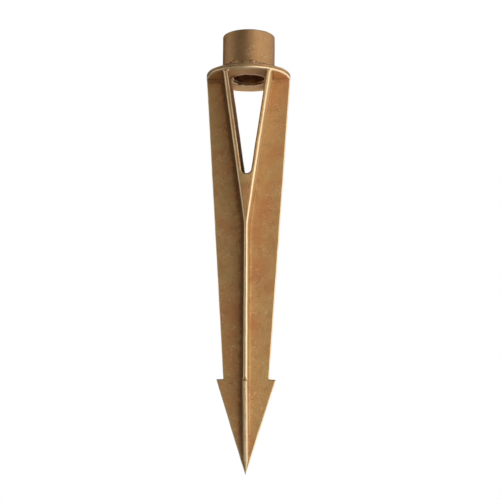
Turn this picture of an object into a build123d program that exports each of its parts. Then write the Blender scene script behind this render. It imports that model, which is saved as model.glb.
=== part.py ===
from build123d import *
import os
from math import atan, sin

# Brass ground stake with a threaded collar, for a garden torch or path light.
# Millimetres, +Z up. The origin is the centre of the flange's underside, which is
# where the stake meets the ground: the collar stands above it, the blades below.
# X runs across the side fins, and the forked spine opens towards +Y and -Y.

# --- driving dimensions -------------------------------------------------------

# Collar: a turned socket for a half-inch, 14-per-inch straight pipe thread.
COLLAR_RADIUS = 15.8
COLLAR_HEIGHT = 23.6        # above the flange
BORE_RADIUS = 9.72          # minor radius of the internal thread
MOUTH_CHAMFER = 1.2         # lead-in at both ends of the bore
SPIGOT_RADIUS = 13.5        # reduced end that sits in the flange's hole
EDGE_BREAK = 0.5            # broken edges of collar and flange
BRAZE_GAP = 0.05            # clearance that the braze fills
BEAD_SIZE = 1.4             # braze bead at the collar's foot
BEAD_BULGE = 0.6            # where its crown lies, as a share of the size each way

# Flange: the round plate that stops at the ground.
FLANGE_RADIUS = 25.4
FLANGE_THICKNESS = 3.0

# Envelope of the blades: a slender cone with an arrowhead at its end.
STAKE_LENGTH = 235.4        # flange underside to tip
BARB_HEIGHT = 55.0          # tip to the ledge over the barbs
BARB_REACH = 17.5           # axis to the barbs' corners
SHANK_REACH = 13.4          # axis to the blades' edges just over the barbs
LEDGE_DROP = 0.8            # the barbs' corners hang a little below the ledge

# Blades.
PLATE = 3.0                 # thickness of spine and fins
FORK_HEIGHT = 147.7         # tip to where the spine divides
FORK_REACH = 14.75          # axis to the legs' outer faces at the flange
LEG_WIDTH = 2.8             # thickness of a leg, measured along X
WINDOW_HEIGHT = 174.0       # tip to the bottom of the wire window

# Joinery.
HOUSING = 0.6               # depth of the grooves that take the fins' roots
MORTISE = 1.5               # depth of the pockets in the flange
TENON_LONG = 5.0
TENON_SHORT = 2.0
LEG_TENON_Y = 15.5          # two tenons on each leg
FIN_TENON_X = 20.0          # one tenon on each side fin
BRIDLE_THICKNESS = 1.5      # tongue of the spine between the legs' feet
BRIDLE_LENGTH = 12.0
BRIDLE_HEIGHT = 8.0

# --- derived ------------------------------------------------------------------

TIP_Z = -STAKE_LENGTH
LEDGE_Z = TIP_Z + BARB_HEIGHT
FORK_Z = TIP_Z + FORK_HEIGHT
COLLAR_TOP = FLANGE_THICKNESS + COLLAR_HEIGHT
LEG_SLOPE = (FORK_REACH - PLATE / 2) / -FORK_Z
LEG_ANGLE = atan(LEG_SLOPE)

# The legs' inner faces, carried down, meet on the axis here.
CROTCH_Z = FORK_Z + (LEG_WIDTH - PLATE / 2) / LEG_SLOPE

# The window's round bottom touches both inner faces.
WINDOW_Z = TIP_Z + WINDOW_HEIGHT
WINDOW_RADIUS = (WINDOW_Z - CROTCH_Z) * sin(LEG_ANGLE) / (1 - sin(LEG_ANGLE))
WINDOW_CENTRE_Z = WINDOW_Z + WINDOW_RADIUS

BEYOND = 2 * FLANGE_RADIUS  # a size that clears everything, for cutting


def upright(points, thickness):
    """Return a plate with this outline in the XZ plane, centred on Y = 0."""
    outline = make_face(Plane.XZ * Polyline(*points, close=True))
    return extrude(outline, amount=thickness / 2, both=True)


def turned(points):
    """Return the solid that this outline, given as (radius, z), turns round the Z axis."""
    outline = make_face(Plane.XZ * Polyline(*points, close=True))
    return revolve(outline, axis=Axis.Z)


def envelope():
    """Return the cone with an arrowhead that every blade is cut to."""
    return turned([
        (0, TIP_Z),
        (BARB_REACH, LEDGE_Z - LEDGE_DROP),
        (SHANK_REACH, LEDGE_Z),
        (FLANGE_RADIUS, 0),
        (0, 0),
    ])


def tenon(x, y, size_x, size_y, gap=0.0):
    """Return a tenon standing on the plane Z = 0, or its pocket when gap is given."""
    block = Box(size_x + 2 * gap, size_y + 2 * gap, MORTISE + gap,
                align=(Align.CENTER, Align.CENTER, Align.MIN))
    return Pos(x, y, 0) * block


def leg_tenons(side, gap=0.0):
    """Return the two tenons of one leg."""
    x = side * (FORK_REACH - LEG_WIDTH / 2)
    return [tenon(x, y, TENON_SHORT, TENON_LONG, gap) for y in (-LEG_TENON_Y, LEG_TENON_Y)]


def fin_tenons(side, gap=0.0):
    """Return the tenon of one side fin, as a list of one."""
    return [tenon(side * FIN_TENON_X, 0, TENON_LONG, TENON_SHORT, gap)]


def threaded_collar():
    """A turned collar whose spigot passes through the flange."""
    shoulder = FLANGE_THICKNESS
    mouth = BORE_RADIUS + MOUTH_CHAMFER
    return turned([
        (mouth, 0),
        (SPIGOT_RADIUS, 0),
        (SPIGOT_RADIUS, shoulder),
        (COLLAR_RADIUS, shoulder),
        (COLLAR_RADIUS, COLLAR_TOP - EDGE_BREAK),
        (COLLAR_RADIUS - EDGE_BREAK, COLLAR_TOP),
        (mouth, COLLAR_TOP),
        (BORE_RADIUS, COLLAR_TOP - MOUTH_CHAMFER),
        (BORE_RADIUS, MOUTH_CHAMFER),
    ])


def collar_braze():
    """The bead of braze at the collar's foot, bulging between collar and flange."""
    foot = Vector(COLLAR_RADIUS, FLANGE_THICKNESS)
    out = foot + Vector(BEAD_SIZE, 0)
    up = foot + Vector(0, BEAD_SIZE)
    crown = foot + Vector(BEAD_SIZE, BEAD_SIZE) * BEAD_BULGE
    edge = [Line(foot, out), ThreePointArc(out, crown, up), Line(up, foot)]
    return revolve(make_face(Plane.XZ * Curve(edge)), axis=Axis.Z)


def flange_plate():
    """The round plate, with a hole for the spigot and blind pockets underneath."""
    plate = turned([
        (SPIGOT_RADIUS + BRAZE_GAP, 0),
        (FLANGE_RADIUS - EDGE_BREAK, 0),
        (FLANGE_RADIUS, EDGE_BREAK),
        (FLANGE_RADIUS, FLANGE_THICKNESS - EDGE_BREAK),
        (FLANGE_RADIUS - EDGE_BREAK, FLANGE_THICKNESS),
        (SPIGOT_RADIUS + BRAZE_GAP, FLANGE_THICKNESS),
    ])
    for side in (-1, 1):
        for pocket in leg_tenons(side, BRAZE_GAP) + fin_tenons(side, BRAZE_GAP):
            plate -= pocket
    return plate


def spine_blade():
    """Front and rear fins in one plate, with the tongue that the legs' feet clasp."""
    blank = Pos(0, 0, TIP_Z) * Box(PLATE, BEYOND, FORK_HEIGHT,
                                   align=(Align.CENTER, Align.CENTER, Align.MIN))
    return (blank & envelope()) + bridle()


def bridle():
    """The spine's tongue, which the legs' feet clasp."""
    return Pos(0, 0, FORK_Z) * Box(BRIDLE_THICKNESS, BRIDLE_LENGTH, BRIDLE_HEIGHT,
                                   align=(Align.CENTER, Align.CENTER, Align.MIN))


def side_fin(side):
    """One side fin, from its housed root out to its edge and its barb."""
    root = PLATE / 2 - HOUSING
    blank = upright([
        (side * root, TIP_Z),
        (side * BEYOND, TIP_Z),
        (side * BEYOND, 0),
        (side * (FORK_REACH - HOUSING), 0),
        (side * root, FORK_Z),
    ], PLATE)
    fin = blank & envelope()
    for stub in fin_tenons(side):
        fin += stub
    return fin


def fork_leg(side):
    """One slanting leg of the fork, as deep as the blades around it."""
    blank = upright([
        (0, FORK_Z),
        (side * PLATE / 2, FORK_Z),
        (side * FORK_REACH, 0),
        (side * (FORK_REACH - LEG_WIDTH), 0),
        (0, CROTCH_Z),
    ], BEYOND)
    leg = (blank & envelope()) - bridle()
    for stub in leg_tenons(side):
        leg += stub
    return leg


def crotch_web():
    """The wedge between the legs, hollowed on top by the window's round bottom.

    It stops halfway up that round, before its two horns grow too thin.
    """
    top = WINDOW_Z + WINDOW_RADIUS / 2
    half = (top - CROTCH_Z) * LEG_SLOPE
    wedge = upright([(0, CROTCH_Z), (half, top), (-half, top)], BEYOND)
    window = Pos(0, 0, WINDOW_CENTRE_Z) * Rot(90, 0, 0) * Cylinder(WINDOW_RADIUS, 2 * BEYOND)
    return (wedge - window) & envelope()


left_fin = side_fin(-1)
right_fin = side_fin(1)

nodes = {
    "threaded_collar": threaded_collar(),
    "collar_braze": collar_braze(),
    "flange_plate": flange_plate(),
    "left_leg": fork_leg(-1) - left_fin,
    "right_leg": fork_leg(1) - right_fin,
    "crotch_web": crotch_web(),
    "spine_blade": spine_blade() - left_fin - right_fin,
    "left_fin": left_fin,
    "right_fin": right_fin,
}

os.makedirs("parts", exist_ok=True)
for name, shape in nodes.items():
    export_step(shape, f"parts/{name}.step")
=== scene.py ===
"""Brass ground stake for a garden torch: its surfaces, its finishes and a plain studio.

Sizes are in millimetres and turn into metres when a mesh is made. Z is up, the ground
is at Z = 0 under the flange, the side fins lie along X, and the wire window in the
forked spine opens towards +Y and -Y.
"""
import logging
import math
from collections.abc import Callable
from dataclasses import dataclass, field
from enum import Enum

import bmesh
import bpy
import numpy as np
from mathutils import Matrix, Vector


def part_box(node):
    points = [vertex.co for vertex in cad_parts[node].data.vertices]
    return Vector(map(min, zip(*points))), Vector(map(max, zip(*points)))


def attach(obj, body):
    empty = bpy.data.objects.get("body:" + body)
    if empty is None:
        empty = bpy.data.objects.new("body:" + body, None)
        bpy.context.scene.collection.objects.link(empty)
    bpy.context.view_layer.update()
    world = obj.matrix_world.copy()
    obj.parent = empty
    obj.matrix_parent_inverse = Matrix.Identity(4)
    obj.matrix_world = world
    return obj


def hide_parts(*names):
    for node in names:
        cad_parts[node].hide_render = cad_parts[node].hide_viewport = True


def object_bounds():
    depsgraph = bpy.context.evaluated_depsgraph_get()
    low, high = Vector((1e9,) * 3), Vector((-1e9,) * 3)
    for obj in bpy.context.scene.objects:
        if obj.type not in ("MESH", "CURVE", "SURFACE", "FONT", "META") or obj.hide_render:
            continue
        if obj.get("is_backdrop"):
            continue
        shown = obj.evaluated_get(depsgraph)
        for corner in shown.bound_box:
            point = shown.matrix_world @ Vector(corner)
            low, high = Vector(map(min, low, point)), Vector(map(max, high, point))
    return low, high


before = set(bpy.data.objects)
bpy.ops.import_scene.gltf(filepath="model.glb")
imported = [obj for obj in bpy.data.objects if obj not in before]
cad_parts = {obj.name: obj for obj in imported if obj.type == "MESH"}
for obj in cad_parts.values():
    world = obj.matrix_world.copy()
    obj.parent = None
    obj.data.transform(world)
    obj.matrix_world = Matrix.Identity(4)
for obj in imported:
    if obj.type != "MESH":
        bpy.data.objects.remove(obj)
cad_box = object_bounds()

Array = np.ndarray
Colour = tuple[float, float, float]

MM = 0.001
BODY = "root"
SHARP_ANGLE = math.radians(32)
MERGE_DISTANCE = 1e-6
WORN_REST = 0.35  # wear at the two ends of a rounded corner
WORN_FADE = 0.45  # millimetres in which wear fades beyond a corner
FAR = 99.0        # millimetres, past the reach of any dirt and painted shade
log = logging.getLogger("ground_stake")


class Side(Enum):
    """The two sides of the stake, as the sign of X."""

    LEFT = -1
    RIGHT = 1


@dataclass(frozen=True)
class AgeingAndShading:
    """One side's dirt and wear: the dirt holds painted shade and the wear painted highlight."""

    root_dirt_and_shade: float
    window_dirt_and_shade: float
    window_wear_and_highlight: float


# The left root weight paints the front fin's shadow. The right window dirt paints the right leg's
# shaded window edge, and the left window wear paints the lit window edge of the left leg.
AGEING_AND_SHADING = {
    Side.LEFT: AgeingAndShading(root_dirt_and_shade=2.2, window_dirt_and_shade=0.2, window_wear_and_highlight=0.6),
    Side.RIGHT: AgeingAndShading(root_dirt_and_shade=0.6, window_dirt_and_shade=1.0, window_wear_and_highlight=0.1),
}


# --- shapes worked out with numpy ----------------------------------------------


def quarter_round(depth: Array, radius: Array | float) -> Array:
    """Work out how far a rounded corner stands off, at a depth in from its edge.

    The formula is the radius, less the square root of the radius squared less the
    square of what is left of the radius. It is the radius at the edge, and nothing
    from the radius inwards, so it serves for an arris and, added, for a fillet.

    Args:
        depth: Distance in from the edge.
        radius: Radius of the corner.

    Returns:
        The stand-off at each depth.
    """
    radius = np.maximum(radius, 1e-6)
    left = np.clip(radius - depth, 0.0, radius)
    return radius - np.sqrt(radius**2 - left**2)


def round_steps(radius: float, count: int) -> Array:
    """Return depths that cut a quarter round into equal angles, from 0 to the radius."""
    return radius * (1.0 - np.cos(np.linspace(0.0, math.pi / 2, count)))


def wear(depth: Array, radius: float) -> Array:
    """Work out how bright handling has worn a corner, at a depth in from its edge.

    The corner's slope turns from 0 to 90 degrees over the radius. Wear follows the
    sine of twice that slope, so it is strongest halfway round, and fades with an
    exponential beyond the radius.

    Args:
        depth: Distance in from the edge.
        radius: Radius of the corner.

    Returns:
        Wear from 0 to 1.
    """
    slope = np.arccos(np.clip(1.0 - depth / radius, 0.0, 1.0))
    corner = WORN_REST + (1 - WORN_REST) * np.sin(2 * slope)
    beyond = WORN_REST * np.exp((radius - depth) / WORN_FADE)
    return np.where(depth < radius, corner, beyond)


def distance_to_path(across: Array, up: Array, path: Array) -> Array:
    """Work out the shortest distance from points to a path of straight runs.

    Each point is dropped square onto each run, held between the run's ends, and the
    nearest result is kept.

    Args:
        across: First coordinates of the points.
        up: Second coordinates of the points.
        path: The path's corners, one row each.

    Returns:
        Distances, in the shape of the points.
    """
    points = np.stack([across, up], -1).reshape(-1, 1, 2)
    start, run = path[:-1], np.diff(path, axis=0)
    share = ((points - start) * run).sum(-1) / (run**2).sum(-1)
    nearest = start + np.clip(share, 0.0, 1.0)[..., None] * run
    return np.linalg.norm(points - nearest, axis=-1).min(1).reshape(np.shape(across))


@dataclass(frozen=True)
class Ripple:
    """The slight unevenness of a casting: a sum of slow plane waves, the same everywhere."""

    height: float = 0.045
    shortest: float = 5.0
    longest: float = 22.0
    waves: int = 28
    seed: int = 11

    def offset(self, points: Array) -> Array:
        """Add up the waves at each point.

        Every wave has a seeded direction, wavelength and start, and pushes along a
        seeded direction of its own by the sine of the distance along it.

        Args:
            points: Points, with X, Y and Z last.

        Returns:
            What to add to each point.
        """
        draw = np.random.default_rng(self.seed)
        heading = draw.normal(size=(3, self.waves))
        heading /= np.linalg.norm(heading, axis=0)
        length = draw.uniform(self.shortest, self.longest, self.waves)
        start = draw.uniform(0, 2 * math.pi, self.waves)
        push = draw.normal(size=(self.waves, 3)) / math.sqrt(self.waves)
        phase = points @ (heading * 2 * math.pi / length) + start
        return self.height * np.sin(phase) @ push


@dataclass
class Shell:
    """Grids of points that join into one closed mesh, with two marks on each point.

    The mark "worn" is 1 on corners that handling has rubbed bright, with painted highlight
    on the left leg's window edge and the collar's lower mouth, and the second mark is 1
    where dirt lies and where shade is painted.
    """

    name: str
    grids: list[Array] = field(default_factory=list)
    worn: list[Array] = field(default_factory=list)
    dirt_and_shade_mark: list[Array] = field(default_factory=list)
    quads: list[Array] = field(default_factory=list)
    count: int = 0

    def add(self, grid: Array, worn: Array | float = 0.0, dirt_and_shade_mark: Array | float = 0.0,
            wrap_rows: bool = False, wrap_columns: bool = False) -> None:
        """Take in a grid of points and the quads between its rows and columns.

        Args:
            grid: Points as rows by columns by 3.
            worn: Wear at each point.
            dirt_and_shade_mark: Dirt and painted shade at each point.
            wrap_rows: Join the last row to the first.
            wrap_columns: Join the last column to the first.
        """
        rows, columns = grid.shape[:2]
        index = self.count + np.arange(rows * columns).reshape(rows, columns)
        if wrap_rows:
            index = np.vstack([index, index[:1]])
        if wrap_columns:
            index = np.hstack([index, index[:, :1]])
        corners = [index[:-1, :-1], index[:-1, 1:], index[1:, 1:], index[1:, :-1]]
        self.quads.append(np.stack([c.ravel() for c in corners], 1))
        self.grids.append(grid.reshape(-1, 3))
        self.worn.append(np.broadcast_to(worn, (rows, columns)).ravel())
        self.dirt_and_shade_mark.append(np.broadcast_to(dirt_and_shade_mark, (rows, columns)).ravel())
        self.count += rows * columns

    def build(self, ripple: Ripple | None = None) -> bpy.types.Object:
        """Join the grids, close the seams and poles, and turn every face outwards.

        Args:
            ripple: Unevenness to add to the points.

        Returns:
            The new object, at the origin, with its place in its mesh.
        """
        points = np.concatenate(self.grids)
        if ripple is not None:
            points = points + ripple.offset(points)
        mesh = bpy.data.meshes.new(self.name)
        mesh.from_pydata((points * MM).tolist(), [], np.concatenate(self.quads).tolist())
        for label, values in (("worn", self.worn), ("dirt_and_shade_mark", self.dirt_and_shade_mark)):
            mark = mesh.attributes.new(label, "FLOAT", "POINT")
            mark.data.foreach_set("value", np.concatenate(values).astype(np.float32))
        work = bmesh.new()
        work.from_mesh(mesh)
        bmesh.ops.remove_doubles(work, verts=work.verts, dist=MERGE_DISTANCE)
        bmesh.ops.dissolve_degenerate(work, edges=work.edges, dist=MERGE_DISTANCE)
        bmesh.ops.recalc_face_normals(work, faces=work.faces)
        work.to_mesh(mesh)
        work.free()
        mesh.shade_smooth()
        mesh.set_sharp_from_angle(angle=SHARP_ANGLE)
        piece = bpy.data.objects.new(self.name, mesh)
        bpy.context.scene.collection.objects.link(piece)
        return piece


# --- sizes ----------------------------------------------------------------------


@dataclass(frozen=True)
class StakeSizes:
    """Sizes that several parts of the stake share, in millimetres.

    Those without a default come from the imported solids. A draft is the taper that lets
    a casting leave its mould: `draft` is how far each side of the window closes in from
    front to rear, and `fin_draft` how much thinner a fin gets, a side, for each
    millimetre outwards. `leg_growth` is how much thicker the legs are at the flange,
    `corner_drop` how far the fork's outer bend lies under the fork, and
    `fork_softness` how round it is.
    """

    tip: float
    fork: float
    crotch: float
    window: float
    spread: float
    flange_radius: float
    flange_thickness: float
    collar_radius: float
    collar_top: float
    plate: float
    leg: float = 2.8
    barb_height: float = 55.0
    barb_reach: float = 17.5
    shank_reach: float = 13.4
    ledge_drop: float = 0.2
    ledge_fillet: float = 0.4
    draft: float = 1.0
    leg_growth: float = 0.4
    corner_drop: float = 2.5
    fin_draft: float = 0.024
    arris: float = 1.15
    side_arris: float = 0.6
    root_fillet: float = 1.5
    fork_fillet: float = 0.35
    top_fillet: float = 1.0
    rim_inset: float = 0.05
    fork_softness: float = 1.1
    overlap: float = 0.05
    point: float = 2.6
    dirt_and_shade_reach: float = 2.4

    @classmethod
    def from_frame(cls) -> "StakeSizes":
        """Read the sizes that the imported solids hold.

        The web's top lies halfway up the window's round bottom, so the window's lowest
        point follows from the web's height and the legs' lean.

        Returns:
            The sizes.
        """
        spine_low, spine_high = (np.array(c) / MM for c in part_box("spine_blade"))
        leg_low, leg_high = (np.array(c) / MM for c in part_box("right_leg"))
        web_low, web_high = (np.array(c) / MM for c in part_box("crotch_web"))
        flange_high = np.array(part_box("flange_plate")[1]) / MM
        collar_high = np.array(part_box("threaded_collar")[1]) / MM
        lean = math.atan((leg_high[0] - spine_high[0]) / -leg_low[2])
        bulge = math.sin(lean) / (1 - math.sin(lean)) / 2
        return cls(
            tip=spine_low[2],
            fork=leg_low[2],
            crotch=web_low[2],
            window=(web_high[2] + web_low[2] * bulge) / (1 + bulge),
            spread=leg_high[0],
            flange_radius=flange_high[0],
            flange_thickness=flange_high[2],
            collar_radius=collar_high[0],
            collar_top=collar_high[2],
            plate=2 * spine_high[0],
        )

    @property
    def slope(self) -> float:
        """Lean of the legs' inner faces, as millimetres of X for each millimetre of Z."""
        return (self.spread - self.plate / 2 - self.leg_growth) / -self.fork

    @property
    def ledge(self) -> float:
        """Height of the ledge over the barbs."""
        return self.tip + self.barb_height

    def shank(self, z: Array) -> Array:
        """Return the reach of the blades' edges over the barbs, a straight taper."""
        share = np.clip((z - self.ledge) / -self.ledge, 0.0, 1.0)
        return self.shank_reach + share * (self.flange_radius - self.rim_inset - self.shank_reach)

    def taper(self, z: Array) -> Array:
        """Return how much of the plate's thickness is left, which runs out at the point."""
        reach = self.barb_reach * (z - self.tip) / self.barb_height
        return np.clip(reach / self.point, 0.0, 1.0)

    def outer_face(self, z: Array) -> Array:
        """Work out X on the outer faces of the spine and of the legs.

        Below the bend it is half the plate, and above it the legs' straight lean. The
        two lines are joined by a hyperbola, which softens the bend. The whole runs out
        at the point and flares under the flange.

        Args:
            z: Heights.

        Returns:
            Half the width across the outer faces.
        """
        bend = self.fork - self.corner_drop
        soft = (z - bend + np.sqrt((z - bend) ** 2 + self.fork_softness**2)) / 2
        lean = (self.spread - self.plate / 2) / -bend
        flare = quarter_round(-z, self.top_fillet)
        return (self.plate / 2 + lean * soft) * self.taper(z) + flare

    def outer_edge(self, z: Array) -> Array:
        """Return X on the outer faces at the blades' edges, which the fins' draft thins."""
        return self.outer_face(z) - self.fin_draft * self.shank(z) * self.taper(z)

    def inner_face(self, z: Array, draft: float = 0.0) -> Array:
        """Return X on the legs' inner faces, or 0 below the crotch, with the core's draft."""
        straight = self.plate / 2 + self.slope * (z - self.fork) - self.leg - draft
        return np.maximum(straight - quarter_round(-z, self.top_fillet), 0.0)

    def dirt(self, from_root: Array, z: Array) -> Array:
        """Return dirt and painted shade along a fin's root and painted shade under the flange,
        fading exponentially.
        """
        along = np.exp(-np.maximum(from_root, 0.0) / self.dirt_and_shade_reach)
        return np.maximum(along, np.exp(np.minimum(z, 0.0) / self.dirt_and_shade_reach))

    def window_circle(self, draft: float = 0.0) -> tuple[float, float]:
        """Return the centre height and radius of the window's round bottom."""
        lean = math.atan(self.slope)
        radius = (self.window - self.crotch) * math.sin(lean) / (1 - math.sin(lean))
        return self.window + radius, radius - draft * math.cos(lean)

    def window_path(self, draft: float = 0.0) -> Array:
        """Work out the window's outline, down one leg, round the bottom and up the other.

        Args:
            draft: How much narrower the window is here on each side.

        Returns:
            Corners of the outline as X and Z, one row each.
        """
        centre, radius = self.window_circle(draft)
        lean = math.atan(self.slope)
        turn = np.linspace(-lean, math.pi + lean, num=49)
        bottom = np.stack([radius * np.cos(turn), centre - radius * np.sin(turn)], 1)
        z = np.linspace(bottom[0, 1], 0.0, num=60)[1:]
        right = np.stack([self.inner_face(z, draft), z], 1)
        return np.concatenate([right[::-1], bottom, right * (-1, 1)])

    def outer_path(self) -> Array:
        """Return the right outer face's line, from the tip to the flange."""
        z = np.concatenate([[self.tip], np.linspace(self.fork - 20.0, 0.0, num=120)])
        return np.stack([self.outer_edge(z), z], 1)


# --- blades -----------------------------------------------------------------------


@dataclass(frozen=True)
class Blade:
    """A fin seen square on: `q` runs outwards from the axis and `z` up.

    Two blocks of grid make it: the arrowhead, from the point to the ledge, and the
    shank, from the ledge up. Their columns keep set distances from the root and from
    the edge, and are evenly spaced between. `root` and `half` give the root's distance
    from the axis and half the plate's thickness at a height.
    """

    sizes: StakeSizes
    root: Callable[[Array], Array]
    half: Callable[[Array], Array]
    top: float
    fillet: float
    arris: float
    draft: float = 0.0
    # Weight of the dirt and painted shade along the root.
    dirt: float = 1.0
    steps: int = 7
    between: int = 9
    past_fillet: float = 1.2
    before_edge: tuple[float, ...] = (1.6, 2.3, 3.4)
    before_barb: tuple[float, ...] = (1.6, 2.2)
    under_ledge: tuple[float, ...] = (
        8.0, 6.0, 4.5, 3.2, 2.2, 1.5, 1.1, 0.8, 0.55, 0.35, 0.2, 0.09, 0.0)
    even_rows: float = 9.5
    crowding: float = 1.25
    over_ledge: float = 2.2
    whole_fillet: float = 7.0
    fillet_run: float = 25.0
    arrow_draft: float = 0.3
    draft_run: float = 2.5
    notch_shade_reach: float = 0.9
    barb_wear: float = 0.3

    def bands(self) -> tuple[Array, Array, Array]:
        """Work out where the columns near the root and near the edges stand.

        Returns:
            Distances from the root, from the shank's edge and from the barb's edge.
        """
        arris = round_steps(self.arris, self.steps)
        root = round_steps(max(self.fillet, 1.0), self.steps)
        root = np.append(root, self.fillet + self.past_fillet)
        shank = np.append(arris, self.before_edge)[::-1]
        barb = np.append(arris, self.before_barb)[::-1]
        return root, shank, barb

    def fill(self, inner: Array, outer: Array) -> Array:
        """Return evenly spaced columns between two sets of columns."""
        share = np.linspace(0, 1, self.between + 2)[1:-1]
        return inner[:, -1:] + share * (outer[:, :1] - inner[:, -1:])

    def arrowhead(self) -> tuple[Array, Array]:
        """Work out the lower block.

        Every row reaches from the root to the point's straight edge. Rows crowd near
        the point and under the ledge. Outside the shank they dip towards the barb, in
        proportion to their height, so that the top row lies along the ledge.

        Returns:
            Coordinates `q` and `z`, as rows by columns.
        """
        s = self.sizes
        root_band, shank_band, barb_band = self.bands()
        low = (s.barb_height - self.even_rows) * np.linspace(0, 1, num=34) ** self.crowding
        rise = np.append(low, s.barb_height - np.array(self.under_ledge))[:, None]
        z = s.tip + rise
        edge = s.barb_reach * rise / s.barb_height
        root = np.minimum(self.root(z), edge)
        barb_width = s.barb_reach - s.shank_reach - s.ledge_fillet
        scale = np.clip((edge - root) / (root_band[-1] + shank_band[0] + barb_width), 0, 1)
        division = edge - barb_width * scale
        inner = root + root_band * scale
        outer = division - shank_band * scale
        barb = edge - barb_band * scale
        q = np.hstack([inner, self.fill(inner, outer), outer, barb])
        ramp = np.clip((q - division) / np.maximum(edge - division, 1e-9), 0, 1)
        return q, z - s.ledge_drop * rise / s.barb_height * ramp

    def shank(self) -> tuple[Array, Array]:
        """Work out the upper block, whose edge curves out onto the ledge at its foot.

        Returns:
            Coordinates `q` and `z`, as rows by columns.
        """
        s = self.sizes
        root_band, shank_band, _ = self.bands()
        foot = s.ledge + round_steps(s.ledge_fillet, 9)
        body = np.linspace(s.ledge + self.over_ledge, self.top - s.top_fillet, num=84)
        crown = self.top - round_steps(s.top_fillet, 7)[-2::-1]
        z = np.concatenate([foot, body, crown])[:, None]
        edge = s.shank(z) + quarter_round(z - s.ledge, s.ledge_fillet)
        inner = self.root(z) + root_band
        outer = edge - shank_band
        q = np.hstack([inner, self.fill(inner, outer), outer])
        return q, np.broadcast_to(z, q.shape)

    def thickness(self, q: Array, z: Array, outline: Array) -> tuple[Array, Array, Array]:
        """Work out half the thickness, the wear, and the dirt with painted shade at each point.

        Half the plate, less the draft and the rounded arris along the outline, plus
        the fillets at the root and under the flange. It all shrinks in the last stretch
        to the point, the root fillet shrinks above the fork, and the draft is slighter
        in the arrowhead. Dirt mixed with painted shade sits along the root, and painted
        shade fills the notch over the barb, where wear is held off.

        Args:
            q: Distances from the axis.
            z: Heights.
            outline: The fin's free edge.

        Returns:
            Half thickness, wear, and dirt with painted shade.
        """
        s = self.sizes
        depth = distance_to_path(q, z, outline)
        from_root = q - self.root(z)
        reach = s.barb_reach * (z - s.tip) / s.barb_height
        small = np.clip((reach - s.plate / 2) / self.whole_fillet, 0.02, 1.0)
        forked = np.clip((z - s.fork) / self.fillet_run, 0.0, 1.0)
        small = small * (1 - (1 - s.fork_fillet) * forked)
        over = np.clip((z - s.ledge) / self.draft_run, 0.0, 1.0)
        draft = self.draft * (self.arrow_draft + (1 - self.arrow_draft) * over)
        half = self.half(z) - (draft * q + quarter_round(depth, self.arris)) * s.taper(z)
        if self.fillet:
            half = half + quarter_round(from_root, self.fillet * small) * s.taper(z)
            half = half + quarter_round(-z, s.top_fillet)
        else:
            from_root = from_root - s.plate / 2
        # Painted shade in the crease over the barb, where the ledge meets the shank; it holds back
        # wear.
        from_notch = np.hypot(q - s.shank_reach - s.ledge_fillet, z - s.ledge)
        notch_shade = np.exp(-from_notch / self.notch_shade_reach)
        dirt = np.maximum(self.dirt * s.dirt(from_root, z), notch_shade)
        worn = wear(depth, self.arris) * (1 - notch_shade)
        return np.maximum(half, 0.0), worn, dirt

    def draw(self, shell: Shell, place: Callable[[Array, Array, Array], Array]) -> None:
        """Add the fin's two faces, its edge and its closing strips to a shell.

        Args:
            shell: Where the grids go.
            place: Turns q, z and a signed half thickness into points.
        """
        arrow_q, arrow_z = self.arrowhead()
        shank_q, shank_z = self.shank()
        ledge = slice(-2, shank_q.shape[1] - 2, -1)
        edge_q, edge_z = (
            np.concatenate([arrow[:, -1], arrow[-1, ledge], shank[1:, -1]])
            for arrow, shank in ((arrow_q, shank_q), (arrow_z, shank_z)))
        outline = np.stack([edge_q, edge_z], 1)
        for q, z in ((arrow_q, arrow_z), (shank_q, shank_z)):
            half, worn, dirt = self.thickness(q, z, outline)
            shell.add(place(q, z, half), worn, dirt)
            shell.add(place(q, z, -half), worn, dirt)
        strips = [(edge_q, edge_z), (shank_q[-1], shank_z[-1])]
        if self.fillet:
            strips.append((np.append(arrow_q[:, 0], shank_q[1:, 0]),
                           np.append(arrow_z[:, 0], shank_z[1:, 0])))
        across = np.array([1.0, 0.0, -1.0])
        ones = np.ones_like(across)
        for q, z in strips:
            half, worn, dirt = (v[:, None] for v in self.thickness(q, z, outline))
            worn = worn + self.barb_wear * (z < self.sizes.ledge)[:, None]
            shell.add(place(q[:, None] * ones, z[:, None] * ones, half * across), worn, dirt)


@dataclass(frozen=True)
class SideFin:
    """A side fin, with the fillets that run up its root and under the flange."""

    sizes: StakeSizes
    side: Side

    @property
    def node(self) -> str:
        """Name of the solid that this fin stands for."""
        return f"{self.side.name.lower()}_fin"

    def build(self) -> bpy.types.Object:
        """Make the fin's mesh, out along X.

        Returns:
            The fin.
        """
        s = self.sizes

        def place(q: Array, z: Array, half: Array) -> Array:
            """Stand a fin along X."""
            return np.stack([self.side.value * q, half, z], -1)

        shell = Shell(f"{self.node}_cast")
        blade = Blade(
            sizes=s,
            root=lambda z: np.maximum(s.outer_face(z) - 2 * s.overlap, 0.0),
            half=lambda z: s.plate / 2 * s.taper(z),
            top=s.overlap,
            fillet=s.root_fillet,
            arris=s.side_arris,
            # Painted shade along the root: the front fin's shadow on the left fin, and a dimmed root
            # fillet on the right.
            dirt=AGEING_AND_SHADING[self.side].root_dirt_and_shade,
        )
        blade.draw(shell, place)
        return shell.build(Ripple())


@dataclass(frozen=True)
class Spine:
    """Front and rear fins in one blade, from the point up to the fork."""

    sizes: StakeSizes
    node: str = "spine_blade"

    def build(self) -> bpy.types.Object:
        """Make both halves, which share the line down the axis.

        Returns:
            The spine.
        """
        s = self.sizes
        shell = Shell(f"{self.node}_cast")
        blade = Blade(
            sizes=s,
            root=lambda z: np.zeros(np.shape(z)),
            half=s.outer_face,
            top=s.fork,
            fillet=0.0,
            arris=s.arris,
            draft=s.fin_draft,
        )
        for facing in (-1, 1):
            blade.draw(shell, lambda q, z, half, f=facing: np.stack([half, f * q, z], -1))
        return shell.build(Ripple())


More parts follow.
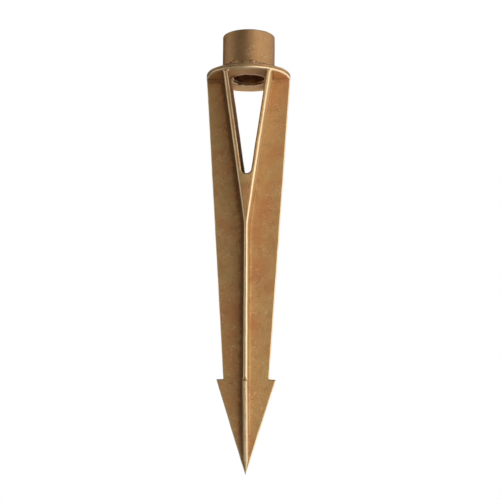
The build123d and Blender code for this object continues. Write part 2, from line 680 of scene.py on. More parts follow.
@dataclass(frozen=True)
class ForkLeg:
    """A slanting leg of the fork, whose edges follow the cone of the blades."""

    sizes: StakeSizes
    side: Side
    steps: int = 8
    wall: int = 26
    wall_dirt_and_shade: float = 0.9
    dirt_and_shade_fade: float = 0.7

    @property
    def node(self) -> str:
        """Name of the solid that this leg stands for."""
        return f"{self.side.name.lower()}_leg"

    def rows(self) -> Array:
        """Space the rows out, closer past the window's round bottom and under the flange.

        Returns:
            Heights from the fork to just inside the flange.
        """
        s = self.sizes
        centre, _ = s.window_circle()
        low = np.linspace(s.fork, s.window - 1.5, num=30)
        round_part = np.linspace(s.window - 1.0, centre + 1.0, num=24)
        high = np.linspace(centre + 1.8, -s.top_fillet - 0.2, num=60)
        crown = s.overlap - round_steps(s.top_fillet, 7)[::-1]
        return np.concatenate([low, round_part, high, crown])

    def face(self, z: Array, draft: float) -> tuple[Array, Array, Array]:
        """Work out the front or the rear of the leg.

        It lies on the cone of the blades, less the arris where the fork's outline is
        near, so it is flush with the web and the spine.

        Args:
            z: Heights, as one column.
            draft: Extra thickness that the window's draft leaves here.

        Returns:
            X from the inner to the outer face, distance from the middle plane, and wear.
        """
        s = self.sizes
        outer, inner = s.outer_edge(z), s.inner_face(z, draft)
        scale = np.minimum((outer - inner) / s.leg, 1.0)
        band = round_steps(s.arris, self.steps)
        x = np.hstack([inner + band * scale, outer - band[::-1] * scale])
        z_grid = np.broadcast_to(z, x.shape)
        outside = distance_to_path(x, z_grid, s.outer_path())
        inside = distance_to_path(x, z_grid, s.window_path(draft))
        y = np.sqrt(s.shank(z) ** 2 - x**2) - quarter_round(np.minimum(outside, inside), s.arris)
        # The left leg's window edge gets more wear: partly painted highlight where it faces the
        # light.
        window_wear_and_highlight = AGEING_AND_SHADING[self.side].window_wear_and_highlight * wear(inside, s.arris)
        return x, y, np.maximum(wear(outside, s.arris), window_wear_and_highlight)

    def build(self) -> bpy.types.Object:
        """Make the leg as a loop round its section, carried up its length.

        In each level section the loop crosses the front from the inner to the outer
        face, runs back along the outer face, crosses the rear and returns along the
        inner face, in straight lines between the two. Dirt with painted shade lies along
        the side fin's root and under the flange, and on the inner face, from where it
        fades onto the front and the rear, most on the right leg's painted shaded edge.

        Returns:
            The leg.
        """
        s = self.sizes
        z = self.rows()[:, None]
        (front_x, front_y, front_worn), (rear_x, rear_y, rear_worn) = (
            self.face(z, draft) for draft in (0.0, s.draft))
        share = np.linspace(0, 1, self.wall)[1:-1]
        outer_y = -front_y[:, -1:] + share * (rear_y[:, -1:] + front_y[:, -1:])
        inner_y = rear_y[:, :1] - share * (rear_y[:, :1] + front_y[:, :1])
        outer_x = s.outer_face(z) - s.fin_draft * np.abs(outer_y)
        inner_x = rear_x[:, :1] + share * (front_x[:, :1] - rear_x[:, :1])
        loop_x = np.hstack([front_x, outer_x, rear_x[:, ::-1], inner_x])
        loop_y = np.hstack([-front_y, outer_y, rear_y[:, ::-1], inner_y])
        least = front_y.min(1, keepdims=True)
        walls = [wear(s.arris + least - np.abs(w), s.arris) for w in (outer_y, inner_y)]
        worn = np.hstack([front_worn, walls[0], rear_worn[:, ::-1], walls[1]])
        from_root = np.hstack([0 * front_y + FAR, np.abs(outer_y) - s.plate / 2,
                               0 * rear_y + FAR, 0 * inner_y + FAR])
        # Painted shade, with some dirt, fades from the window's edge onto the front and rear,
        # strongest on the right leg.
        front_dirt_and_shade, rear_dirt_and_shade = (
            AGEING_AND_SHADING[self.side].window_dirt_and_shade * np.exp(-np.abs(x - x[:, :1]) / self.dirt_and_shade_fade)
            for x in (front_x, rear_x))
        window_dirt_and_shade = np.hstack([front_dirt_and_shade, 0 * outer_y, rear_dirt_and_shade[:, ::-1],
                                 0 * inner_y + self.wall_dirt_and_shade])
        dirt = np.maximum(s.dirt(from_root, z), window_dirt_and_shade)
        grid = np.stack([self.side.value * loop_x, loop_y, np.broadcast_to(z, loop_x.shape)], -1)
        middle = grid.mean(1, keepdims=True)[[0, -1]]
        caps = np.broadcast_to(middle, (2, grid.shape[1], 3))
        grid = np.concatenate([caps[:1], grid, caps[1:]])
        worn = np.concatenate([worn[:1], worn, worn[-1:]])
        dirt = np.concatenate([dirt[:1], dirt, dirt[-1:]])
        shell = Shell(f"{self.node}_cast")
        shell.add(grid, worn, dirt, wrap_columns=True)
        return shell.build(Ripple())


@dataclass(frozen=True)
class CrotchWeb:
    """The wedge between the legs, under the window's round bottom."""

    sizes: StakeSizes
    node: str = "crotch_web"
    rays: int = 41
    rows: int = 26
    wall: int = 26
    room: tuple[float, float] = (2.0, 1.5)
    half_width: float = 2.7
    rim_wear: float = 0.9
    face_wear: float = 0.12
    wall_wear: float = 0.15

    def face(self, draft: float) -> tuple[Array, Array]:
        """Work out the front or the rear of the wedge, from lines that fan out of the crotch.

        A line ends where a ray from the crotch meets the window's circle: the distance
        to the circle's centre along the ray, less the square root of the radius squared
        less the square of how far the ray passes from the centre. Below its end, a line
        keeps its share of the gap between the legs. Rows crowd near the end for the
        arris. The whole is widened a little, so that its sides sink into the legs.

        Args:
            draft: How much narrower the window is here on each side.

        Returns:
            Points at their distance from the middle plane, and wear.
        """
        s = self.sizes
        centre, radius = s.window_circle(draft)
        crotch = s.crotch + draft / s.slope
        lean = math.atan(s.slope) * np.linspace(-1, 1, self.rays)
        far = centre - crotch
        miss = np.maximum(radius**2 - (far * np.sin(lean)) ** 2, 0.0)
        reach = far * np.cos(lean) - np.sqrt(miss)
        end_x, end_z = reach * np.sin(lean), crotch + reach * np.cos(lean)
        foot = s.fork + (s.leg + draft - s.plate / 2) / s.slope
        near = round_steps(s.arris, 9)[::-1]
        z = np.vstack([
            foot + np.linspace(0, 1, self.rows)[:, None] * (end_z - self.room[0] - foot),
            end_z - self.room[1],
            end_z - near[:, None],
        ])
        spread = s.inner_face(z, draft) / s.inner_face(end_z, draft)
        x = end_x * spread * (1 + s.overlap / self.half_width)
        depth = distance_to_path(x, z, s.window_path(draft))
        depth[-1] = 0.0
        y = np.sqrt(s.shank(z) ** 2 - x**2) - quarter_round(depth, s.arris)
        worn = np.maximum(self.rim_wear * wear(depth, s.arris), self.face_wear)
        return np.stack([x, y, z], -1), worn

    def build(self) -> bpy.types.Object:
        """Join the front and the rear with straight strips over the top and down the sides.

        Returns:
            The wedge.
        """
        shell = Shell(f"{self.node}_cast")
        front, rear = self.face(0.0), self.face(self.sizes.draft)
        front_points, rear_points = front[0] * (1, -1, 1), rear[0]
        shell.add(front_points, front[1])
        shell.add(rear_points, rear[1])
        share = np.linspace(0, 1, self.wall)[:, None, None]
        for border in (np.s_[-1, :], np.s_[:, 0], np.s_[:, -1]):
            start, end = front_points[border], rear_points[border]
            shell.add(start + share * (end - start), self.wall_wear)
        return shell.build(Ripple())


# --- turned parts -------------------------------------------------------------------


def arc(centre: tuple[float, float], radius: float, start: float, end: float,
        count: int) -> Array:
    """Return points of an arc as (radius from the axis, height), angles in degrees."""
    turn = np.radians(np.linspace(start, end, count))
    return np.array(centre) + radius * np.stack([np.cos(turn), np.sin(turn)], 1)


def full_turn(count: int) -> Array:
    """Return evenly spaced angles all the way round, as one column."""
    return np.linspace(0, 2 * math.pi, count, endpoint=False)[:, None]


def stand_round(turn: Array, radius: Array, z: Array) -> Array:
    """Return the points at these angles, distances from the axis and heights."""
    return np.stack([radius * np.cos(turn), radius * np.sin(turn), z], -1)


@dataclass(frozen=True)
class Flange:
    """The round plate at ground level, with softened edges."""

    sizes: StakeSizes
    hole: float = 13.5
    edge: float = 0.75
    seam: float = 0.18
    rub: float = 1.4
    rub_reach: float = 0.5
    upper_rub: float = 0.55
    rim_dirt: float = 0.9
    foot_reach: float = 1.5
    node: str = "flange_plate"
    around: int = 288

    def build(self) -> bpy.types.Object:
        """Turn the plate's outline round the axis.

        The outline runs out along the underside, round the rim and back along the top
        to the hole. It is closed, so the surface has no poles. The rim's corners are
        rubbed, the lower one more, and dirt sits between them and round the collar.

        Returns:
            The flange.
        """
        s = self.sizes
        rim, top = s.flange_radius, s.flange_thickness
        under = np.linspace(self.hole + self.seam, rim - self.edge, num=16)[1:-1]
        over = np.linspace(rim - self.edge, self.hole, num=12)[1:]
        middle = np.linspace(self.edge, top - self.edge, num=8)[1:-1]
        profile = np.concatenate([
            arc((self.hole + self.seam, self.seam), self.seam, 180, 270, 5),
            np.stack([under, 0 * under], 1),
            arc((rim - self.edge, self.edge), self.edge, -90, 0, 8),
            np.stack([0 * middle + rim, middle], 1),
            arc((rim - self.edge, top - self.edge), self.edge, 0, 90, 8),
            np.stack([over, 0 * over + top], 1),
        ])
        turn = full_turn(self.around)
        radius, z = profile[:, 0] + 0 * turn, profile[:, 1] + 0 * turn
        corner = np.hypot(rim - radius, np.minimum(z, top - z))
        worn = self.rub * np.exp(-np.maximum(corner - self.rub_reach, 0) / self.rub_reach)
        worn = worn * np.where(z < top / 2, 1.0, self.upper_rub)
        face = self.rim_dirt * np.exp(-((rim - radius) / 0.3) ** 2 - ((z - top / 2) / 0.8) ** 2)
        foot = np.exp(-np.abs(radius - s.collar_radius) / self.foot_reach) * (z > top / 2)
        shell = Shell(f"{self.node}_cast")
        shell.add(stand_round(turn, radius, z), worn, np.maximum(face, foot),
                  wrap_rows=True, wrap_columns=True)
        return shell.build(Ripple())


@dataclass(frozen=True)
class Collar:
    """The turned collar, with its internal thread of 14 turns to the inch."""

    sizes: StakeSizes
    bore: float = 9.72
    pitch: float = 25.4 / 14
    thread_depth: float = 0.98
    mouth: float = 10.85
    mouth_slope: float = 1.7
    spigot: float = 13.5
    mouth_edge: float = 0.2
    edge: float = 0.6
    seam: float = 0.18
    burr: float = 0.75
    burr_side: float = 150.0
    burr_reach: float = 0.45
    bore_dirt: float = 0.65
    foot_dirt: float = 0.7
    unevenness: float = 0.02
    node: str = "threaded_collar"
    around: int = 216
    per_turn: int = 12

    def thread(self, turn: Array, z: Array) -> Array:
        """Work out the bore's radius on the thread.

        The height, less the helix's rise, counts pitches. Within a pitch the flank is a
        triangle wave, cut flat over an eighth of the pitch at crest and root.

        Args:
            turn: Angles round the axis.
            z: Heights.

        Returns:
            Radii.
        """
        phase = (z / self.pitch - turn / (2 * math.pi)) % 1.0
        wave = np.abs(2 * phase - 1)
        return self.bore + self.thread_depth * np.clip((wave - 0.125) / 0.75, 0, 1)

    def burr_height(self, turn: Array) -> Array:
        """Work out the ragged lip that the thread cutter left round the lower mouth.

        It is highest at one side, by the cosine of the angle from there, and broken up
        by the product of two faster cosines.

        Args:
            turn: Angles round the axis.

        Returns:
            Heights of the lip.
        """
        side = np.clip(0.35 + self.facing_burr(turn), 0, 1)
        ragged = 0.65 + 0.35 * np.cos(turn * 23) * np.cos(turn * 37 + 1)
        return self.burr * side * ragged

    def facing_burr(self, turn: Array) -> Array:
        """Return the cosine of the angle from the side where the burr is highest."""
        return np.cos(turn - math.radians(self.burr_side))

    def marks(self, turn: Array, radius: Array, z: Array) -> tuple[Array, Array]:
        """Work out wear and dirt, each fading exponentially from where it is strongest.

        The upper rim, the mouths and the lowest crests of the thread are worn, the lower
        mouth most on the burr's side, where the extra brightness is painted highlight. Dirt
        fills the bore and the collar's foot.

        Args:
            turn: Angles round the axis.
            radius: Distances from the axis.
            z: Heights.

        Returns:
            Wear and dirt.
        """
        s = self.sizes
        ends = np.minimum(z, s.collar_top - z)
        in_bore = radius < self.mouth
        rim = np.exp(-np.hypot(s.collar_radius - radius, s.collar_top - z) / 0.7)
        in_mouth = (radius < self.mouth + 0.5) * np.exp(-np.maximum(ends - 0.6, 0) / 0.5)
        # Wear on the lower mouth rises towards the burr's side, partly painted highlight where that
        # side faces the light.
        rubbed_and_highlight = 0.3 + 0.7 * np.clip(self.facing_burr(turn), 0, 1)
        crest = in_bore * np.clip(1 - 2 * (radius - self.bore) / self.thread_depth, 0, 1)
        worn = np.maximum(rim, in_mouth * rubbed_and_highlight) + 0.8 * crest * np.exp(-z / 5.0)
        inside = self.bore_dirt * in_bore * np.clip(ends / 3.0, 0, 1)
        foot = np.exp(-np.abs(z - s.flange_thickness) / 1.6) * (radius > self.spigot)
        return worn, np.maximum(inside, self.foot_dirt * foot)

    def build(self) -> bpy.types.Object:
        """Turn the collar's outline round the axis, with the thread down its bore.

        The outline runs up the outside, over the rim, down the bore and back out along
        the end of the spigot. In the bore the radius is the larger of the thread and of
        the bevelled mouths. The burr lowers the points near the lower mouth, fading with
        the square of their distance from it.

        Returns:
            The collar.
        """
        s = self.sizes
        top, wall = s.collar_top, s.collar_radius
        soft = self.mouth_edge
        side = np.linspace(s.flange_thickness, top - self.edge, num=40)[1:-1]
        outside = np.concatenate([
            arc((self.spigot - self.seam, self.seam), self.seam, -90, 0, 5),
            [(self.spigot, s.flange_thickness), (wall, s.flange_thickness)],
            np.stack([0 * side + wall, side], 1),
            arc((wall - self.edge, top - self.edge), self.edge, 0, 90, 9),
            arc((self.mouth + soft, top - soft), soft, 90, 180, 5),
        ])
        turns = (top - 2 * soft) / self.pitch
        bore_z = np.linspace(top - 1.4 * soft, 1.4 * soft, int(turns * self.per_turn))
        ending = arc((self.mouth + soft, soft), soft, 180, 270, 5)
        turn = full_turn(self.around)
        mouths = self.mouth - self.mouth_slope * np.minimum(bore_z, top - bore_z)
        bore_r = np.maximum(self.thread(turn, bore_z), mouths)
        radius = np.hstack([outside[:, 0] + 0 * turn, bore_r, ending[:, 0] + 0 * turn])
        z = np.hstack([outside[:, 1], bore_z, ending[:, 1]]) + 0 * turn
        from_mouth = np.hypot(radius - self.mouth, z) / self.burr_reach
        z = z - self.burr_height(turn) * np.exp(-from_mouth**2)
        worn, dirt = self.marks(turn, radius, z)
        shell = Shell(f"{self.node}_turned")
        shell.add(stand_round(turn, radius, z), worn, dirt, wrap_rows=True, wrap_columns=True)
        return shell.build(Ripple(height=self.unevenness))


@dataclass(frozen=True)
class BrazeBead:
    """The uneven bead where the collar stands on the flange."""

    sizes: StakeSizes
    size: float = 1.15
    squash: float = 0.8
    swell: float = 0.18
    lump: float = 0.2
    inset: float = 0.1
    climb: float = 4.0
    climb_side: float = 252.0
    crest_wear: float = 0.6
    dirt: float = 0.35
    node: str = "collar_braze"
    around: int = 360
    section: int = 14
    seed: int = 5

    def climb_height(self, turn: Array) -> Array:
        """Work out how far the bead has run up the collar.

        The share is a cosine of the angle from one side, cut off below and eased at
        both ends by three squares less two cubes, with a ragged edge from the product of
        two faster cosines.

        Args:
            turn: Angles round the axis.

        Returns:
            Half the extra height at each angle.
        """
        away = np.cos(turn - math.radians(self.climb_side))
        share = np.clip(0.75 * away + 0.25, 0, 1)
        ragged = 0.8 + 0.2 * np.cos(turn * 19) * np.cos(turn * 29 + 1)
        return self.climb / 2 * share**2 * (3 - 2 * share) * ragged

    def build(self) -> bpy.types.Object:
        """Carry a round section along the collar's foot, swelling and thinning as it goes.

        The section's radius is the bead's size times one plus a sum of seeded cosines of
        the angle. Lumps ride on it, as the product of two cosines, and its upper half
        is drawn up the collar where the bead climbs, with beads of its own.

        Returns:
            The bead.
        """
        s = self.sizes
        turn = full_turn(self.around)
        roll = full_turn(self.section).T
        draw = np.random.default_rng(self.seed)
        orders = np.array([2, 3, 5, 7, 9, 13, 17, 23])
        starts = draw.uniform(0, 2 * math.pi, orders.size)
        swell = (np.cos(turn * orders + starts) / np.sqrt(orders)).sum(1, keepdims=True)
        lumps = self.lump * np.cos(turn * 31 + 3 * np.cos(roll)) * np.cos(turn * 12 + roll)
        size = self.size * (1 + self.swell * swell) * (1 + lumps)
        climb = self.climb_height(turn)
        beads = np.clip(np.cos(turn * 41 + 2 * np.sin(2 * roll)) * np.cos(turn * 17 + roll), 0, 1)
        out = size * np.cos(roll) + 0.3 * climb * (1 + beads) * np.clip(np.sin(roll), 0, 1)
        up = self.squash * size * np.sin(roll) + climb * (1 + np.sin(roll))
        radius = s.collar_radius + self.inset + out
        z = s.flange_thickness + self.inset + up
        worn = self.crest_wear * np.clip(np.sin(roll) * 0.5 + lumps * 2, 0, 1)
        shell = Shell(f"{self.node}_bead")
        shell.add(stand_round(turn, radius, z), worn, self.dirt, wrap_rows=True, wrap_columns=True)
        return shell.build()


# --- finishes -------------------------------------------------------------------------


class Slot(Enum):
    """The record's material slots."""

    TURNED = "turned_brass"
    CAST = "cast_brass"
    BRAZE = "braze"


@dataclass(frozen=True)
class Patches:
    """Noise cut into patches: its feature size in millimetres, and where they fade in."""

    size: float
    low: float
    high: float
    detail: float = 3.0
    roughness: float = 0.6
    amount: float = 1.0


@dataclass(frozen=True)
class Wiring:
    """Adds nodes to one shader tree and joins them."""

    tree: bpy.types.NodeTree

    def node(self, kind: str, inputs: dict[int | str, object] | None = None,
             **settings: object) -> bpy.types.Node:
        """Add a node.

        Args:
            kind: The node's type.
            inputs: A value, or a socket to link, for each input.
            settings: The node's own properties.

        Returns:
            The node.
        """
        node = self.tree.nodes.new(kind)
        for label, value in settings.items():
            setattr(node, label, value)
        for label, value in (inputs or {}).items():
            if isinstance(value, bpy.types.NodeSocket):
                self.tree.links.new(value, node.inputs[label])
            else:
                node.inputs[label].default_value = value
        return node

    def math(self, operation: str, *values: object) -> bpy.types.NodeSocket:
        """Add a Math node and return its result."""
        return self.node("ShaderNodeMath", dict(enumerate(values)), operation=operation).outputs[0]

    def mix(self, share: object, first: object, second: object) -> bpy.types.NodeSocket:
        """Mix two colours and return the result."""
        inputs = {0: share, 6: first, 7: second}
        return self.node("ShaderNodeMix", inputs, data_type="RGBA").outputs[2]

    def span(self, value: object, low: object, high: object, start: object = 0.0,
             end: object = 1.0) -> bpy.types.NodeSocket:
        """Map a value from low..high to start..end with soft ends, and return the result."""
        inputs = {0: value, 1: low, 2: high, 3: start, 4: end}
        return self.node("ShaderNodeMapRange", inputs, interpolation_type="SMOOTHSTEP").outputs[0]

    def place(self, stretch: Colour = (1.0, 1.0, 1.0)) -> bpy.types.NodeSocket:
        """Return Object coordinates in millimetres, stretched along each axis."""
        spot = self.node("ShaderNodeTexCoord").outputs["Object"]
        scale = tuple(part / MM for part in stretch)
        return self.node("ShaderNodeMapping", {"Vector": spot, "Scale": scale}).outputs[0]

    def noise(self, place: object, size: object, detail: float = 3.0,
              roughness: float = 0.55) -> bpy.types.NodeSocket:
        """Add noise with features of a size, and return it.

        Args:
            place: Coordinates in millimetres.
            size: Width of a feature.
            detail: Octaves of finer noise.
            roughness: Strength of the finer noise.

        Returns:
            The noise, about 0.5 on average.
        """
        linked = isinstance(size, bpy.types.NodeSocket)
        scale = self.math("DIVIDE", 1.0, size) if linked else 1 / size
        inputs = {"Vector": place, "Scale": scale, "Detail": detail, "Roughness": roughness}
        return self.node("ShaderNodeTexNoise", inputs).outputs[0]

    def patches(self, place: object, kind: Patches) -> bpy.types.NodeSocket:
        """Return the mask of one kind of patches, from 0 to 1."""
        noise = self.noise(place, kind.size, kind.detail, kind.roughness)
        return self.span(noise, kind.low, kind.high)

    def group(self, tree: bpy.types.NodeTree, values: dict[str, object]) -> bpy.types.Node:
        """Add a shader group with its own values, and return its node."""
        return self.node("ShaderNodeGroup", values, node_tree=tree)

    def mark(self, label: str) -> bpy.types.NodeSocket:
        """Return one of the marks that the mesh carries on its points."""
        return self.node("ShaderNodeAttribute", attribute_name=label).outputs["Fac"]


class Effects:
    """The shader groups that the finishes share, each built once."""

    WHITE = (1.0, 1.0, 1.0, 1.0)
    HUES = Patches(size=17.0, low=0.36, high=0.68)
    BLOTCHES = Patches(size=5.5, low=0.46, high=0.72, detail=4.0, roughness=0.65, amount=0.35)
    STREAKS = Patches(size=4.0, low=0.45, high=0.75, detail=2.0, roughness=0.5, amount=0.4)
    STREAK_SHAPE = (1.0, 1.0, 0.12)
    SPOTS = Patches(size=1.25, low=0.56, high=0.74, amount=0.45)
    RUBBED = Patches(size=9.0, low=0.44, high=0.58, detail=2.0, roughness=0.5)
    FLECKS = Patches(size=1.1, low=0.57, high=0.66, detail=2.0, roughness=0.5)
    SWELL_SIZE = 3.2
    SWELL_HEIGHT = 1.4
    PIT_SIZE = 1.7

    def __init__(self) -> None:
        """Build the groups."""
        self.worn = self.worn_edges()
        self.tarnish = self.tarnish_blotches()
        self.grain = self.casting_grain()

    @staticmethod
    def start(name: str, inputs: dict[str, object],
              outputs: dict[str, str]) -> tuple[Wiring, bpy.types.Node, bpy.types.Node]:
        """Start a group with its sockets.

        Args:
            name: The group's name.
            inputs: Default value for each input, a number or a colour.
            outputs: Socket type for each output.

        Returns:
            The wiring, the group's input node and its output node.
        """
        tree = bpy.data.node_groups.new(name, "ShaderNodeTree")
        for label, value in inputs.items():
            kind = "NodeSocketColor" if isinstance(value, tuple) else "NodeSocketFloat"
            socket = tree.interface.new_socket(name=label, in_out="INPUT", socket_type=kind)
            socket.default_value = value
        for label, kind in outputs.items():
            tree.interface.new_socket(name=label, in_out="OUTPUT", socket_type=kind)
        wiring = Wiring(tree)
        return wiring, wiring.node("NodeGroupInput"), wiring.node("NodeGroupOutput")

    def worn_edges(self) -> bpy.types.NodeTree:
        """Build the mask of rubbed corners: the mesh's mark, broken up by noise.

        Returns:
            The group.
        """
        w, given, out = self.start(
            "worn_edges",
            {"Amount": 1.0, "Ragged": 0.5, "Size": 1.6},
            {"Mask": "NodeSocketFloat"},
        )
        spot = w.place()
        coarse = w.noise(spot, given.outputs["Size"], detail=4.0, roughness=0.6)
        slow = w.noise(spot, 14.0, detail=1.0, roughness=0.5)
        swing = w.math("ADD", w.math("SUBTRACT", coarse, 0.5), w.math("SUBTRACT", slow, 0.5))
        shift = w.math("MULTIPLY", swing, given.outputs["Ragged"])
        level = w.math("ADD", w.mark("worn"), shift)
        mask = w.math("MULTIPLY", w.span(level, 0.3, 0.85), given.outputs["Amount"])
        w.tree.links.new(mask, out.inputs["Mask"])
        return w.tree

    def tarnish_blotches(self) -> bpy.types.NodeTree:
        """Build the colour of aged brass.

        Slow changes of hue come first, then darker blotches, reddish streaks that run
        up and down, small dark spots, bright flecks within rubbed patches, and last the
        dirt and painted shade that the mesh marks.

        Returns:
            The group.
        """
        w, given, out = self.start(
            "tarnish_blotches",
            {"Clean": self.WHITE, "Warm": self.WHITE, "Dark": self.WHITE,
             "Dirt": (0.1, 0.1, 0.1, 1.0), "Fleck": self.WHITE, "Dirt Amount": 0.5,
             "Fleck Amount": 0.4},
            {"Color": "NodeSocketColor", "Spots": "NodeSocketFloat"},
        )
        spot = w.place()
        colour = w.mix(w.patches(spot, self.HUES), given.outputs["Clean"], given.outputs["Warm"])
        blotches = w.math("MULTIPLY", w.patches(spot, self.BLOTCHES), self.BLOTCHES.amount)
        colour = w.mix(blotches, colour, given.outputs["Dark"])
        streaks = w.patches(w.place(self.STREAK_SHAPE), self.STREAKS)
        streaks = w.math("MULTIPLY", streaks, self.STREAKS.amount)
        colour = w.mix(streaks, colour, given.outputs["Warm"])
        spots = w.patches(spot, self.SPOTS)
        colour = w.mix(w.math("MULTIPLY", spots, self.SPOTS.amount), colour, given.outputs["Dark"])
        flecks = w.math("MULTIPLY", w.patches(spot, self.FLECKS), w.patches(spot, self.RUBBED))
        flecks = w.math("MULTIPLY", flecks, given.outputs["Fleck Amount"])
        colour = w.mix(flecks, colour, given.outputs["Fleck"])
        # Dirt and painted shade from the mesh's second mark, made uneven.
        uneven = w.math("SUBTRACT", w.noise(spot, 3.0), 0.5)
        dirt_and_shade_mask = w.span(w.math("ADD", w.mark("dirt_and_shade_mark"), uneven), 0.35, 1.15)
        dirt_and_shade_mask = w.math("MULTIPLY", dirt_and_shade_mask, given.outputs["Dirt Amount"])
        colour = w.mix(dirt_and_shade_mask, colour, given.outputs["Dirt"])
        w.tree.links.new(colour, out.inputs["Color"])
        w.tree.links.new(spots, out.inputs["Spots"])
        return w.tree

    def casting_grain(self) -> bpy.types.NodeTree:
        """Build the height of a sand-cast skin: soft swells, fine grain and a few pits.

        Returns:
            The group.
        """
        w, given, out = self.start(
            "casting_grain",
            {"Size": 1.0, "Pits": 0.4},
            {"Height": "NodeSocketFloat"},
        )
        spot, size = w.place(), given.outputs["Size"]
        swell = w.noise(spot, w.math("MULTIPLY", size, self.SWELL_SIZE), detail=2.0, roughness=0.5)
        grain = w.noise(spot, size, detail=4.0, roughness=0.62)
        deep = w.noise(spot, w.math("MULTIPLY", size, self.PIT_SIZE), detail=2.0, roughness=0.5)
        deep = w.span(deep, 0.62, 0.75)
        height = w.math("ADD", w.math("MULTIPLY", swell, self.SWELL_HEIGHT), grain)
        height = w.math("SUBTRACT", height, w.math("MULTIPLY", deep, given.outputs["Pits"]))
        w.tree.links.new(height, out.inputs["Height"])
        return w.tree


@dataclass(frozen=True)
class BrassFinish:
    """Aged brass, from its clean colour to its dirt and painted shade, with bright worn corners.

    `grain_size` and `grain_depth` are in millimetres, and `turning` is the strength of
    the fine rings that a lathe leaves.
    """

    name: str
    clean: Colour
    warm: Colour
    dark: Colour
    dirt: Colour
    bright: Colour
    dirt_and_shade_amount: float
    rough: float
    rough_worn: float
    wear: float
    ragged: float
    grain_size: float
    grain_depth: float
    pits: float
    flecks: float = 0.4
    turning: float = 0.0
    worn_size: float = 1.5
    spot_rough: float = 0.10
    ring_shape: Colour = (0.012, 0.012, 1.0)
    ring_size: float = 0.3

    def build(self, effects: Effects) -> bpy.types.Material:
        """Make the material.

        Args:
            effects: The shared shader groups.

        Returns:
            The material.
        """
        material = bpy.data.materials.new(self.name)
        material.use_nodes = True
        material.node_tree.nodes.clear()
        w = Wiring(material.node_tree)
        opaque = 1.0
        tarnish = w.group(effects.tarnish, {
            "Clean": (*self.clean, opaque),
            "Warm": (*self.warm, opaque),
            "Dark": (*self.dark, opaque),
            "Dirt": (*self.dirt, opaque),
            "Fleck": (*self.bright, opaque),
            "Dirt Amount": self.dirt_and_shade_amount,
            "Fleck Amount": self.flecks,
        })
        worn = w.group(effects.worn, {
            "Amount": self.wear,
            "Ragged": self.ragged,
            "Size": self.worn_size,
        })
        grain = w.group(effects.grain, {"Size": self.grain_size, "Pits": self.pits})
        mask = worn.outputs["Mask"]
        colour = w.mix(mask, tarnish.outputs["Color"], (*self.bright, opaque))
        skin = w.math("MULTIPLY_ADD", tarnish.outputs["Spots"], self.spot_rough, self.rough)
        rough = w.span(mask, 0.0, 1.0, skin, self.rough_worn)
        height = grain.outputs["Height"]
        if self.turning:
            rings = w.noise(w.place(self.ring_shape), self.ring_size, detail=3.0, roughness=0.7)
            height = w.math("MULTIPLY_ADD", rings, self.turning, height)
        bump = w.node("ShaderNodeBump", {
            "Height": height,
            "Strength": 1.0,
            "Distance": self.grain_depth * MM,
        })
        shader = w.node("ShaderNodeBsdfPrincipled", {
            "Base Color": colour,
            "Roughness": rough,
            "Metallic": 1.0,
            "Normal": bump.outputs[0],
        })
        w.node("ShaderNodeOutputMaterial", {"Surface": shader.outputs[0]})
        return material


# Each finish's dirt colour also paints the shade that the mesh marks.
FINISHES = {
    Slot.CAST: BrassFinish(
        name="cast_brass_aged",
        clean=(0.74, 0.500, 0.225),
        warm=(0.72, 0.390, 0.170),
        dark=(0.50, 0.265, 0.105),
        dirt=(0.20, 0.085, 0.030),
        bright=(0.98, 0.77, 0.48),
        dirt_and_shade_amount=0.6,
        rough=0.68,
        rough_worn=0.32,
        wear=0.9,
        ragged=0.55,
        grain_size=1.1,
        grain_depth=0.065,
        pits=0.75,
    ),
    Slot.TURNED: BrassFinish(
        name="turned_brass_satin",
        clean=(0.57, 0.330, 0.150),
        warm=(0.54, 0.300, 0.130),
        dark=(0.44, 0.230, 0.095),
        dirt=(0.20, 0.10, 0.045),
        bright=(0.95, 0.74, 0.47),
        dirt_and_shade_amount=0.6,
        rough=0.52,
        rough_worn=0.30,
        wear=0.9,
        ragged=0.45,
        grain_size=0.8,
        grain_depth=0.02,
        pits=0.3,
        turning=0.7,
    ),
    Slot.BRAZE: BrassFinish(
        name="brazing_alloy",
        clean=(0.74, 0.44, 0.21),
        warm=(0.66, 0.34, 0.15),
        dark=(0.36, 0.18, 0.08),
        dirt=(0.14, 0.07, 0.035),
        bright=(0.93, 0.70, 0.43),
        dirt_and_shade_amount=0.45,
        rough=0.5,
        rough_worn=0.32,
        wear=0.9,
        ragged=0.7,
        grain_size=0.9,
        grain_depth=0.09,
        pits=0.9,
    ),
}


# --- studio -----------------------------------------------------------------------------


@dataclass(frozen=True)
class SoftLight:
    """A soft patch of light on the studio's walls.

    The azimuth is 0 in front of the stake and 90 degrees at its right.
    """

    azimuth: float
    elevation: float
    strength: float
    spread: float

    def direction(self) -> Colour:
        """Return the unit vector towards the middle of the patch."""
        turn, rise = math.radians(self.azimuth), math.radians(self.elevation)
        return (math.sin(turn) * math.cos(rise), -math.cos(turn) * math.cos(rise), math.sin(rise))


